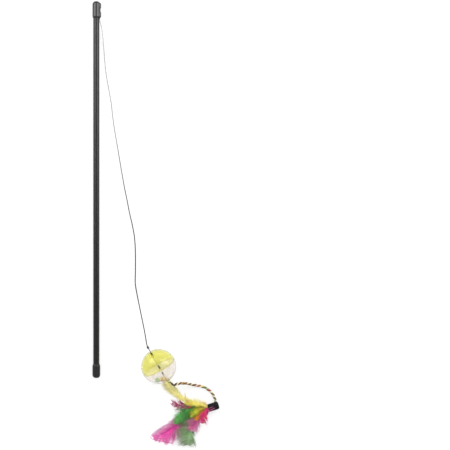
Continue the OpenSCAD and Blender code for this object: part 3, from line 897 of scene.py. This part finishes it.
@dataclass
class TwistedCord:
    """Short cord of two yarns, each dyed in lengths, from its brown knot to the sleeve's side.

    On the colour ramp each yarn has one half, less a margin at both ends, so that they don't mix.
    """

    width: float = 2.8 * MM
    spacing: float = 0.4 * MM
    pitch: float = 6.4 * MM
    yarn_width: float = 1.9 * MM
    orbit: float = 0.8 * MM
    facets: int = 12
    lump: float = 0.2
    lump_points: int = 36
    slack: float = 0.12
    slack_points: int = 22
    hairs: int = 420
    hair_width: float = 0.07 * MM
    hair_length: float = 1.3 * MM
    hair_lengths: tuple[float, float] = (0.5, 1.0)
    hair_seat: float = 0.36
    hair_rise: float = 0.5
    hair_bend: float = 1.5
    hair_thins: float = 0.6
    hair_lowest: float = 0.1 * MM
    hair_steps: int = 4
    hair_sides: int = 3
    hair_lean: int = 3
    hairless: tuple[int, int] = (4, 8)
    fibre_mm: float = 0.3
    fibre_length_mm: float = 2.4
    fibre_depth_mm: float = 0.12
    ramp_margin: float = 0.02
    ramp_part: float = 0.96
    seed: int = 31
    dark_yarn: tuple[str, ...] = (
        "#402c1c", "#5c4430", "#503824", "#945440", "#54442c", "#402c1c", "#6c4a30", "#8c5648", "#503824",
        "#74844c", "#a84438", "#8c543c", "#64543e", "#4a3c2a", "#707454",
    )
    pale_yarn: tuple[str, ...] = (
        "#e4d4a8", "#f0e0b4", "#ccaa60", "#a4a880", "#f4e4bc", "#f4deb0", "#dcbc8c", "#f4d0bc", "#f0e494",
        "#b8bc8c", "#acb490", "#f0e0b8", "#d0c0a0", "#f0e4bc", "#a4a884",
    )
    brown: tuple[tuple[float, str], ...] = ((0.0, "#34261a"), (1.0, "#4a3426"))
    knot_strand: float = 1.0 * MM
    knot_shade: float = 0.3
    core_points: int = 5
    core_length: float = 0.9
    core_radius: float = 0.6
    core_shade: float = 0.6
    knot: Knot = Knot("cord_knot_turns", (0.02009, -0.19115, 0.01419), (0.653, -0.673, -0.347), 4.4 * MM,
                      2.6 * MM, 4.5, Body.TAIL, "cord_knot")
    route: tuple[tuple[float, float, float], ...] = (
        (0.0218, -0.1929, 0.0134), (0.0236, -0.1919, 0.0131), (0.026, -0.191, 0.0125),
        (0.0292, -0.1904, 0.0114), (0.0325, -0.1902, 0.01), (0.0362, -0.1906, 0.0081),
        (0.04, -0.1913, 0.0062), (0.0438, -0.1921, 0.0044), (0.0475, -0.1928, 0.003),
        (0.0513, -0.1934, 0.0021), (0.0549, -0.1942, 0.0016), (0.0584, -0.1955, 0.0015),
        (0.0617, -0.1972, 0.0015), (0.0646, -0.1994, 0.0016), (0.0672, -0.202, 0.0019),
        (0.069, -0.2048, 0.0026), (0.0703, -0.2076, 0.0035), (0.071, -0.2101, 0.0044),
        (0.0716, -0.2125, 0.00475), (0.07235, -0.21485, 0.00475),
    )

    def shade_at(self, yarn: float | np.ndarray, share: float | np.ndarray) -> float | np.ndarray:
        """Returns the place on the colour ramp of a share of a yarn's length, the dark yarn's first."""
        return (yarn + self.ramp_margin + self.ramp_part * share) / 2

    def dye(self) -> tuple[tuple[float, str], ...]:
        """Returns the lengths that both yarns are dyed in."""
        return tuple(
            (self.shade_at(k, (i + 0.5) / len(yarn)), code)
            for k, yarn in enumerate((self.dark_yarn, self.pale_yarn))
            for i, code in enumerate(yarn))

    def fuzz(
        self,
        strands: Strands,
        line: np.ndarray,
        across: np.ndarray,
        up: np.ndarray,
        run: np.ndarray,
        rng: np.random.Generator,
    ) -> None:
        """Lets short fibre ends stand out of the cord.

        Args:
            strands: The cord's strands, to which the fibres are added.
            line: The cord's centre line.
            across: Directions to the side along it.
            up: Directions up along it.
            run: Distances along it.
            rng: The cord's own random draws.
        """
        at = rng.integers(self.hairless[0], len(line) - self.hairless[1], self.hairs)
        turn = rng.uniform(0, 2 * math.pi, self.hairs)
        out = np.cos(turn)[:, None] * across[at] + np.sin(turn)[:, None] * up[at]
        ahead = unit(line[at + self.hair_lean] - line[at]) * rng.choice([-1.0, 1.0], self.hairs)[:, None]
        size = self.hair_length * rng.uniform(*self.hair_lengths, self.hairs)
        u = np.linspace(0, 1, self.hair_steps)
        rise = self.width * self.hair_seat + size[:, None] * self.hair_rise * u
        lines = (line[at][:, None] + out[:, None] * rise[:, :, None]
                 + ahead[:, None] * (size[:, None] * u ** self.hair_bend)[:, :, None])
        lines[:, :, 2] = np.maximum(lines[:, :, 2], self.hair_lowest)
        radii = np.broadcast_to(self.hair_width / 2 * (1 - self.hair_thins * u),
                                (self.hairs, self.hair_steps))
        own = self.shade_at(rng.integers(0, 2, self.hairs), run[at] / run[-1])
        strands.add(lines, radii, self.hair_sides, strand=own)

    def knotted_end(self, finish: bpy.types.Material) -> bpy.types.Object:
        """Builds the cord's knotted end round a core.

        Args:
            finish: The brown yarn's material.

        Returns:
            The knot's piece.
        """
        turned = self.knot.line(self.knot_strand)
        wound = Strands(("strand",))
        wound.add(turned[None], np.full((1, len(turned)), self.knot_strand / 2), self.facets,
                  strand=self.knot_shade)
        reach = np.linspace(-0.5, 0.5, self.core_points)[:, None] * self.knot.length * self.core_length
        core = reach * np.array(self.knot.axis) + np.array(self.knot.centre)
        wound.add(core[None], np.full((1, self.core_points), self.knot_strand * self.core_radius),
                  self.facets, strand=self.core_shade)
        piece = wound.build(self.knot.name, finish)
        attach(piece, self.knot.body.value)
        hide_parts(self.knot.node)
        return piece

    def build(self) -> None:
        """Builds the cord and its knotted end."""
        yarn, brown = (
            SpunThread(name, colours, self.fibre_mm, self.fibre_length_mm, self.fibre_depth_mm).make()
            for name, colours in (("twisted_yarn", self.dye()), ("brown_yarn", self.brown)))
        rng = np.random.default_rng(self.seed)
        line = through(np.array(self.route), self.spacing)
        run = run_of(line)
        _, across, up = frames_of(line[None])
        strands = Strands(("strand",))
        slack = self.slack * np.interp(run, np.linspace(0, run[-1], self.slack_points),
                                       rng.uniform(-1, 1, self.slack_points))
        for k in range(2):
            turn = 2 * math.pi * (run / self.pitch + k / 2 + slack)
            laid = line + self.orbit * (np.cos(turn)[:, None] * across[0] + np.sin(turn)[:, None] * up[0])
            laid[:, 2] = np.maximum(laid[:, 2], self.yarn_width / 2 * (1 + self.lump))
            lumps = 1 + self.lump * np.interp(run, np.linspace(0, run[-1], self.lump_points),
                                              rng.uniform(-1, 1, self.lump_points))
            strands.add(laid[None], (self.yarn_width / 2 * lumps)[None], self.facets,
                        strand=self.shade_at(k, run / run[-1])[None])
        self.fuzz(strands, line, across[0], up[0], run, rng)
        cord = strands.build("twisted_yarn_cord", yarn)
        knot = self.knotted_end(brown)
        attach(cord, Body.TAIL.value)
        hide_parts("twisted_cord")
        LOG.info("twisted cord measures %.4f m", run[-1])


@dataclass
class CappedRod:
    """The black rod and its two push-on caps, with the string's end held in the upper one."""

    def build(self) -> None:
        """Dresses the rod, the caps and the string's hidden end."""
        dress("rod", PulledFibreglass().make())
        rubber = MouldedRubber().make()
        dress("top_cap", rubber)
        dress("butt_cap", MouldedRubber("scuffed_rubber", "#141313", "#1a1919", 0.42, 0.35).make())
        dress("string_anchor", MouldedRubber("waxed_elastic", "#3c3c3a", "#4a4a48", 0.6, 0.4).make())


@dataclass
class RattleBall:
    """The ball's two clear halves, snapped together, and the beads that rattle in it."""

    def build(self) -> None:
        """Dresses the halves and the beads."""
        dress("ball_yellow_half", ClearStyrene("yellow_styrene", "#f5f3ae").make())
        dress("ball_clear_half", ClearStyrene("clear_styrene", "#faf6f3").make())
        dress("green_bead", MouldedBead("green_bead_plastic", "#b4e4ac", "#ccf2c4").make())
        dress("orange_bead", MouldedBead("orange_bead_plastic", "#ecc480", "#f6e0a4").make())


@dataclass(frozen=True)
class Growth:
    """How the barbs of every feather vary. Bounds of random draws go both ways from zero."""

    # Places along the quill: how far a barb and a lock's end stray from even spacing, the last
    # share that bears barbs, and where the vane's outline is cut off
    barb_stray: float = 0.4
    lock_stray: float = 0.3
    fewest_locks: int = 5
    last_share: float = 0.99
    outline_end: float = 0.97
    # Bounds of the draws of a barb, of a loose barb and of a whole lock
    barb_draw: float = 0.5
    loose_draw: float = 2.2
    lock_draw: float = 1.6
    # Reach: the least as a share of the feather's width, where the down at the root ends, how a
    # lock's and a barb's draws change it, its fullness, and how a lock narrows to its sides
    least_reach: float = 0.08
    down_end: float = 0.5
    reach_by_lock: float = 0.8
    reach_by_barb: float = 0.5
    reach_over_all: float = 1.12
    lock_narrows: float = 0.3
    lock_power: float = 1.5
    # Sweep to the tip and rise: how the draws change them, and how the sweep fades along the quill
    sweep_by_lock: float = 0.25
    sweep_by_barb: float = 0.4
    sweep_fades: float = 0.5
    rise_by_lock: float = 0.4
    rise_by_barb: float = 0.5
    # Bend of a barb: how far it bows out, how that varies, and its fine waves with their angles
    bow: float = 0.3
    bow_varies: float = 0.15
    wave: float = 0.025
    wave_turns: float = 7.0
    wave_start: float = 6.3
    # Thickness: how a barb thins to its tip, and how it varies
    thins: float = 0.75
    thin_power: float = 1.5
    thickness: tuple[float, float] = (0.8, 1.15)
    # Least height of a barb's centre line over the floor
    lowest: float = 0.2 * MM


@dataclass
class Feather:
    """One dyed feather: its place in the sleeve, its bend and vane, and its barbs.

    It stands in the glue's hole at hole_share of the plug's radius to the side, in the row and layer
    of its number. Its heading turns from the sleeve's by three angles in degrees, at the neck, on the
    way and at the tip. Pairs hold a value for the left and the right side, seen from the root: the
    share of the vane at which it is widest, how far the barbs sweep to the tip, and how full it is.

    Past a bare length the root bears down. The barbs gather into locks, end raggedly and softly, and
    curl a little at their tips, with loose fluff among them. Only the shown share of the packed
    quill is drawn. Wisps are single curved locks, each given by its points.
    """

    name: str
    layer: int
    hole_share: float
    length: float
    width: float
    turns: tuple[float, float, float]
    bellies: tuple[float, float]
    fullness: float
    finish: DyedFeather
    droop_layers: float = 0.0
    barbs_per_mm: float = 11.0
    barb_width: float = 0.28 * MM
    barb_thick: float = 0.4
    lock_length: float = 3.2 * MM
    gather: float = 0.2
    sweep: tuple[float, float] = (0.85, 0.85)
    fullness_of_sides: tuple[float, float] = (1.0, 1.0)
    ragged: float = 0.2
    soft: float = 0.45
    fluff_per_mm: float = 8.0
    fluff_width: float = 0.11 * MM
    down: float = 2.5 * MM
    bare: float = 0.8 * MM
    curl: float = 0.35 * MM
    shown_share: float = 1.0
    wisps: tuple[tuple[tuple[float, float, float], ...], ...] = ()
    wisp_width: float = 1.2 * MM
    seed: int = 1

    # The same for every feather
    neck: float = 4.0 * MM
    seat: float = 2.95 * MM
    shaft_width: float = 0.42 * MM
    shaft_thins: float = 0.65
    shaft_stride: int = 4
    shaft_sides: int = 6
    barb_sides: int = 3
    quill_step: float = 0.25 * MM
    quill_end: float = 0.1 * MM
    steps: int = 9
    wisp_sides: int = 4
    wisp_strands: int = 3
    wisp_spacing: float = 1.0 * MM
    wisp_thins: float = 0.8
    wisp_along: tuple[float, float] = (0.5, 0.3)
    wisp_drift: tuple[float, float, float] = (0.35, 0.35, 0.1)
    even_mark: float = 0.5
    seed_step: int = 17
    growth: Growth = Growth()

    def quill(self, lure: "FeatherLure") -> tuple[np.ndarray, np.ndarray, np.ndarray]:
        """Works out the quill's centre line.

        Args:
            lure: The sleeve and layers that the feather belongs to.

        Returns:
            Distances from the glue's face, and the place and heading at each.
        """
        s = np.arange(-self.seat, self.length + self.quill_end, self.quill_step)
        t = np.clip((s - self.neck) / (self.length - self.neck), 0, 1)
        first, middle, last = self.turns
        bent = first * (1 - t) ** 2 + 2 * middle * t * (1 - t) + last * t ** 2
        turn = np.where(s < self.neck, first * np.clip(s, 0, None) / self.neck, bent)
        angle = np.radians(lure.turn + turn)
        way = np.stack([np.cos(angle), np.sin(angle), np.zeros_like(angle)], axis=1)
        root = lure.mouth_at(self.hole_share)
        stride = (way[1:] + way[:-1]) / 2 * np.diff(s)[:, None]
        walk = np.concatenate([[np.zeros(3)], np.cumsum(stride, axis=0)])
        place = root - self.seat * lure.along() + walk
        share = np.clip(s, 0, None) / self.length
        root_up, layer_up = lure.row_up(self.layer), lure.layer_up(self.layer)
        place[:, 2] = (root_up + (layer_up - root_up) * ease(share / lure.settle_share)
                       - self.droop_layers * lure.layer_step
                       * ease((share - lure.droop_share) / (1 - lure.droop_share)))
        return s, place, way

    def vane_half(self, t: np.ndarray, belly: float) -> np.ndarray:
        """Returns the vane's half width at shares of its length, widest at the belly's share."""
        power = math.log(0.5) / math.log(belly)
        swell = np.sin(math.pi * np.minimum(t, self.growth.outline_end) ** power)
        return self.width / 2 * swell ** self.fullness

    def barbs(
        self,
        side: Side,
        s: np.ndarray,
        place: np.ndarray,
        way: np.ndarray,
        rng: np.random.Generator,
        fluff: bool,
    ) -> tuple[np.ndarray, np.ndarray, np.ndarray, np.ndarray]:
        """Lays the barbs on one side of the quill, gathered into pointed locks.

        Args:
            side: The side that they grow on.
            s: Distances along the quill.
            place: The quill's place at each.
            way: The quill's heading at each.
            rng: The feather's own random draws.
            fluff: Whether these are the thin loose barbs that belong to no lock.

        Returns:
            Centre points as (barbs, points, 3), radii as (barbs, points), the share of the
            feather's length where each barb stands, and a random draw for each barb's lock.
        """
        grow = self.growth
        pick = 0 if side is Side.LEFT else 1
        shown = self.length * self.shown_share
        vane = shown - self.neck

        # Where each barb stands, and in which lock
        count = int(vane / MM * (self.fluff_per_mm if fluff else self.barbs_per_mm))
        locks = max(grow.fewest_locks, round(vane / self.lock_length))
        stray = rng.uniform(-grow.barb_stray, grow.barb_stray, count)
        t = np.sort(np.clip((np.arange(count) + stray) / count, 0.0, 1.0))
        stray = rng.uniform(-grow.lock_stray, grow.lock_stray, locks - 1)
        bounds = np.linspace(0, 1, locks + 1) + np.pad(stray / locks, 1)
        lock = np.clip(np.searchsorted(bounds, t) - 1, 0, locks - 1)
        middle, half = ((bounds[1:] + bounds[:-1]) / 2)[lock], ((bounds[1:] - bounds[:-1]) / 2)[lock]
        aside = (t - middle) / half
        loose = rng.uniform(-1, 1, (3, count)) * (grow.loose_draw if fluff else grow.barb_draw)
        own = rng.uniform(-grow.lock_draw, grow.lock_draw, (3, locks))[:, lock]
        at = self.bare + t * (shown - self.bare) * grow.last_share
        root = np.stack([np.interp(at, s, place[:, k]) for k in range(3)], axis=1)
        head = unit(np.stack([np.interp(at, s, way[:, k]) for k in range(3)], axis=1))
        across = side.value * np.stack([-head[:, 1], head[:, 0], np.zeros(count)], axis=1)

        # How far each reaches to the side, to the tip and up
        vane_share = np.clip((at - self.neck) / vane, 0, 1)
        reach = np.maximum(self.vane_half(vane_share, self.bellies[pick]), grow.least_reach * self.width)
        reach = np.maximum(reach, self.down * (1 - t / grow.down_end))
        reach = reach * (1 + self.ragged * (grow.reach_by_lock * own[0] + grow.reach_by_barb * loose[0]))
        reach = reach * grow.reach_over_all * self.fullness_of_sides[pick]
        reach = reach * (1 - self.soft * rng.random(count))
        if not fluff:
            reach = reach * (1 - grow.lock_narrows * np.abs(aside) ** grow.lock_power)
        pull = 0.0 if fluff else self.gather
        sweep = self.sweep[pick] + grow.sweep_by_lock * own[1] + grow.sweep_by_barb * loose[1]
        tip_ahead = reach * sweep * (1 - grow.sweep_fades * t ** 3) - pull * aside * half * vane
        tip_up = self.curl * (grow.rise_by_lock * own[2] + grow.rise_by_barb * loose[2])

        # The barbs' lines
        u = np.linspace(0, 1, self.steps)[None, :, None]
        bow = grow.bow + grow.bow_varies * rng.normal(size=(count, 1, 1))
        outward = across[:, None] * reach[:, None, None] * (u + bow * u * (1 - u))
        forward = head[:, None] * tip_ahead[:, None, None] * (u * (0.5 + 0.5 * u))
        phase = rng.uniform(0, grow.wave_start, (count, 1, 1))
        wave = grow.wave * reach[:, None, None] * np.sin(u * grow.wave_turns + phase)
        lines = root[:, None] + outward + forward + wave * head[:, None]
        lines[:, :, 2] += tip_up[:, None] * u[:, :, 0] ** 2
        lines[:, :, 2] = np.maximum(lines[:, :, 2], grow.lowest)
        width = self.fluff_width if fluff else self.barb_width
        radii = width / 2 * (1 - grow.thins * u[:, :, 0] ** grow.thin_power)
        radii = radii * rng.uniform(*grow.thickness, (count, 1))
        return lines, radii, at / shown, rng.random(locks)[lock]

    def add_wisps(self, strands: Strands, rng: np.random.Generator) -> None:
        """Lays each wisp as a few fine strands that part towards its tip.

        Args:
            strands: The feather's strands, to which the wisps are added.
            rng: The feather's own random draws.
        """
        for wisp in self.wisps:
            line = through(np.array(wisp) * MM, self.wisp_spacing)
            share = np.linspace(0, 1, len(line))
            radii = self.wisp_width / 4 * (1 - self.wisp_thins * share ** 2)
            along = self.wisp_along[0] + self.wisp_along[1] * share
            for _ in range(self.wisp_strands):
                drift = rng.normal(size=3) * self.wisp_drift * MM
                strands.add((line + share[:, None] * drift)[None], radii[None], self.wisp_sides,
                            along=along[None], strand=self.even_mark, lock=self.even_mark, right=0.0,
                            shaft=0.0)

    def build(self, lure: "FeatherLure") -> bpy.types.Object:
        """Builds the feather.

        Args:
            lure: The sleeve and layers that the feather belongs to.

        Returns:
            The feather's piece.
        """
        rng = np.random.default_rng(self.seed + self.seed_step * self.layer)
        s, place, way = self.quill(lure)
        strands = Strands(("along", "strand", "lock", "right", "shaft"))
        thickness = self.shaft_width * (1 - self.shaft_thins * np.clip(s, 0, None) / self.length)
        pick = slice(0, int(len(s) * self.shown_share), self.shaft_stride)
        even = self.even_mark
        strands.add(place[None, pick], thickness[None, pick], self.shaft_sides, along=even, strand=even,
                    lock=even, right=even, shaft=1.0)
        for side in Side:
            for fluff in (False, True):
                lines, radii, at, lock = self.barbs(side, s, place, way, rng, fluff)
                strands.add(lines, radii, self.barb_sides, self.barb_thick, along=at,
                            strand=rng.random(len(at)), lock=lock, right=float(side is Side.RIGHT),
                            shaft=0.0)
        self.add_wisps(strands, rng)
        return strands.build(self.name + "_plume", self.finish.make())


@dataclass
class FeatherLure:
    """The black sleeve, its glue plug and the ten feathers that stand in it.

    The feathers' holes are a row each up the plug's face. From there each feather goes to a layer of
    its own over the floor, within the first share of its length, so that none touches another.
    """

    place: tuple[float, float, float] = (0.0693, -0.2184, 0.00475)
    turn: float = 198.0
    face: float = 5.9 * MM
    plug_radius: float = 3.85 * MM
    row_share: float = 0.172
    layer_step: float = 0.95 * MM
    lowest_layer: float = 0.8 * MM
    settle_share: float = 0.3
    droop_share: float = 0.4
    rows: int = 10

    def along(self) -> np.ndarray:
        """Returns the direction of the sleeve's mouth."""
        angle = math.radians(self.turn)
        return np.array([math.cos(angle), math.sin(angle), 0.0])

    def mouth_at(self, share: float) -> np.ndarray:
        """Returns the place on the glue's face at a share of its radius to the side."""
        ahead = self.along()
        aside = np.array([-ahead[1], ahead[0], 0.0])
        return np.array(self.place) + self.face * ahead + share * self.plug_radius * aside

    def row_up(self, row: int) -> float:
        """Returns the height of a feather's hole over the floor."""
        return self.place[2] + (row - (self.rows - 1) / 2) * self.row_share * self.plug_radius

    def layer_up(self, layer: int) -> float:
        """Returns the height of a feather's layer over the floor."""
        return self.lowest_layer + layer * self.layer_step

    def feathers(self) -> list[Feather]:
        """Lists the feathers, the lowest first. Wisps are in millimetres."""
        return [
            Feather(
                "magenta", 0, 0.16, 77.1 * MM, 24 * MM, (-16, 60, -15), (0.33, 0.6), 0.5,
                DyedFeather("magenta_down", (
                    (0.0, "#a08078"), (0.4, "#a87080"), (0.55, "#c04c90"), (0.72, "#d43894"),
                    (0.86, "#ee64b4"), (1.0, "#fcb4e4"),
                ), "#fc88d0", "#fcdcf4", "#c05898", "#dc3498", 0.8, 14.0),
                barbs_per_mm=15, barb_width=0.36 * MM, gather=0.12, ragged=0.1, soft=0.2, fluff_per_mm=12,
                down=4 * MM, sweep=(0.75, 1.3), fullness_of_sides=(1.3, 0.74), wisp_width=1.8 * MM,
                wisps=(
                    ((5.1, -254.2, 0.8), (-0.5, -252.9, 0.8), (-5.2, -251.5, 0.8)),
                    ((8.0, -257.5, 0.8), (0.5, -255.6, 0.8), (-5.8, -252.9, 0.8)),
                    ((20.7, -262.7, 0.8), (8.2, -260.3, 0.8), (-3.7, -257.5, 0.8), (-6.9, -254.6, 0.8)))),
            Feather(
                "crimson", 1, -0.24, 45.3 * MM, 12 * MM, (-29, -2, -45), (0.62, 0.62), 0.7,
                DyedFeather("crimson_down", (
                    (0.0, "#a02040"), (0.7, "#a82450"), (0.85, "#b04880"), (1.0, "#b86498"),
                ), "#b4588c", "#b8689c", "#a83c78", "#a01838", 0.4),
                barbs_per_mm=6, gather=0.75, ragged=0.35, fluff_per_mm=3, down=1.2 * MM,
                lock_length=4.2 * MM, sweep=(1.2, 1.5), wisp_width=2.0 * MM, wisps=(
                    ((36.1, -216.1, 1.8), (30.5, -213.2, 1.8), (27.9, -209.2, 1.8)),
                    ((29.1, -217.2, 1.8), (23.5, -214.4, 1.8), (17.8, -210.2, 1.8)),
                    ((27.0, -219.0, 1.8), (21.0, -217.6, 1.8), (17.4, -214.2, 1.8)),
                    ((43.0, -217.6, 8.8), (37.1, -217.9, 9.2), (31.5, -218.0, 6.2)),
                    ((42.0, -219.4, 8.6), (35.0, -219.9, 8.8), (29.0, -218.9, 5.0)))),
            Feather(
                "yellow_long", 2, -0.63, 67 * MM, 10 * MM, (-21, -61, -77), (0.76, 0.74), 0.65,
                DyedFeather("long_yellow_down", (
                    (0.0, "#e4de58"), (0.35, "#faee70"), (0.6, "#fff290"), (0.8, "#fffab4"),
                    (1.0, "#fffcb8"),
                ), "#fffcc4", "#fffcc4", "#fff8ac", "#fff094", 0.6),
                droop_layers=1.4, down=1.6 * MM, bare=14 * MM, ragged=0.12, soft=0.3, sweep=(0.75, 0.85),
                fullness_of_sides=(1.4, 1.1)),
            Feather(
                "sage", 3, 0.31, 56.1 * MM, 20 * MM, (-4, 64, 72), (0.68, 0.56), 0.4,
                DyedFeather("sage_down", (
                    (0.0, "#48904c"), (0.45, "#5c984c"), (0.7, "#749c64"), (1.0, "#8ca280"),
                ), "#8ca47c", "#a09088", "#80a070", "#6c9458", 0.6),
                sweep=(1.2, 0.8), fullness_of_sides=(1.15, 1.5), gather=0.12, ragged=0.15, seed=3),
            Feather(
                "green", 4, -0.1, 52.5 * MM, 16 * MM, (-19, -12, 82), (0.6, 0.6), 0.7,
                DyedFeather("green_down", (
                    (0.0, "#3c8a30"), (0.45, "#2e9444"), (0.7, "#48a04c"), (1.0, "#68b060"),
                ), "#60a858", "#78c05c", "#58b050", "#3c7a30", 0.6),
                sweep=(0.6, 0.8), ragged=0.35, soft=0.5, fluff_per_mm=14, down=4 * MM, shown_share=0.92,
                wisps=(((35.1, -225.1, 4.8), (29.6, -231.1, 4.8), (30.3, -239.2, 4.8)),)),
            Feather(
                "purple", 5, 0.68, 37.4 * MM, 11 * MM, (17, 31, 69), (0.6, 0.6), 0.7,
                DyedFeather("purple_down", (
                    (0.0, "#a83080"), (0.4, "#c4407c"), (0.75, "#c45c98"), (1.0, "#d8b0bc"),
                ), "#cc78ac", "#d8a8b8", "#a050a0", "#c44c80", 0.6),
                ragged=0.3, down=3 * MM, fullness_of_sides=(1.4, 1.7), shown_share=0.92, wisps=(
                    ((61.4, -224.0, 8.6), (66.0, -222.0, 9.8), (70.6, -219.8, 10.8)),
                    ((61.8, -222.8, 9.4), (65.2, -219.8, 10.7), (68.5, -218.8, 11.2)),
                    ((61.0, -225.0, 7.6), (65.6, -224.2, 8.6), (69.4, -223.0, 9.4)))),
            Feather(
                "orange", 6, 0.24, 25.7 * MM, 9 * MM, (-3, 47, 53), (0.5, 0.5), 0.7,
                DyedFeather("orange_down", (
                    (0.0, "#e06028"), (0.4, "#f08828"), (1.0, "#e49434"),
                ), "#d89c48", "#c8b048", "#d08c40", "#d87824", 0.5),
                ragged=0.35, soft=0.6, fluff_per_mm=14, down=4 * MM, fullness_of_sides=(1.3, 1.4),
                shown_share=0.88),
            Feather(
                "lime", 7, -0.16, 29.1 * MM, 9 * MM, (-19, 38, 20), (0.52, 0.52), 0.7,
                DyedFeather("lime_down", (
                    (0.0, "#d84468"), (0.15, "#dc4a60"), (0.36, "#dc8c2c"), (0.56, "#ccd834"),
                    (0.75, "#bcc430"), (1.0, "#6c9828"),
                ), "#94a830", "#a0b838", "#c0b038", "#a4a828", 0.4),
                ragged=0.35, soft=0.6, fluff_per_mm=14, down=4 * MM, shown_share=0.9),
            Feather(
                "yellow_short", 8, -0.5, 30.2 * MM, 9 * MM, (-53, 12, -41), (0.5, 0.5), 0.7,
                DyedFeather("short_yellow_down", (
                    (0.0, "#eab890"), (0.4, "#f6ea68"), (0.6, "#eee064"), (0.75, "#c8a444"),
                    (1.0, "#dcc85c"),
                ), "#c0b838", "#fcf8ac", "#f4e888", "#e8d850", 0.5),
                ragged=0.4, soft=0.6, fluff_per_mm=16, down=3.6 * MM, fullness_of_sides=(0.9, 1.6),
                wisps=(((36.3, -210.7, 8.4), (35.6, -206.0, 8.4), (35.0, -201.7, 8.4)),),
                wisp_width=3.0 * MM),
            Feather(
                "pink", 9, 0.24, 20.5 * MM, 9 * MM, (37, 64, 57), (0.45, 0.45), 0.7,
                DyedFeather("pink_down", (
                    (0.0, "#d01858"), (0.5, "#dc2468"), (1.0, "#cc5090"),
                ), "#d05890", "#d06898", "#c84080", "#c41450", 0.4),
                barbs_per_mm=15, gather=0.4, ragged=0.3, down=3 * MM, fullness_of_sides=(1.5, 1.2),
                wisps=(
                    ((57.0, -228.7, 9.3), (54.6, -232.5, 9.3), (52.6, -234.7, 9.3)),
                    ((56.0, -232.7, 9.3), (54.9, -236.5, 9.3), (55.9, -238.7, 9.3)))),
        ]

    def build(self) -> None:
        """Builds the feathers and dresses the sleeve and its glue."""
        dress("ferrule", MouldedRubber("shrunk_sleeve", "#030303", "#0a0a0a", 0.5, 0.2).make())
        dress("quill_plug", HotMeltGlue().make())
        for feather in self.feathers():
            plume = feather.build(self)
            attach(plume, Body.TAIL.value)
            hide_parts(feather.name + "_feather")


def main() -> None:
    """Builds the studio and the toy, cords first."""
    logging.basicConfig(level=logging.INFO, format="%(name)s: %(message)s")
    bpy.context.scene.view_settings.view_transform = "Standard"
    Studio().build()
    ElasticString().build()
    TwistedCord().build()
    CappedRod().build()
    RattleBall().build()
    FeatherLure().build()


if __name__ == "__main__":
    main()
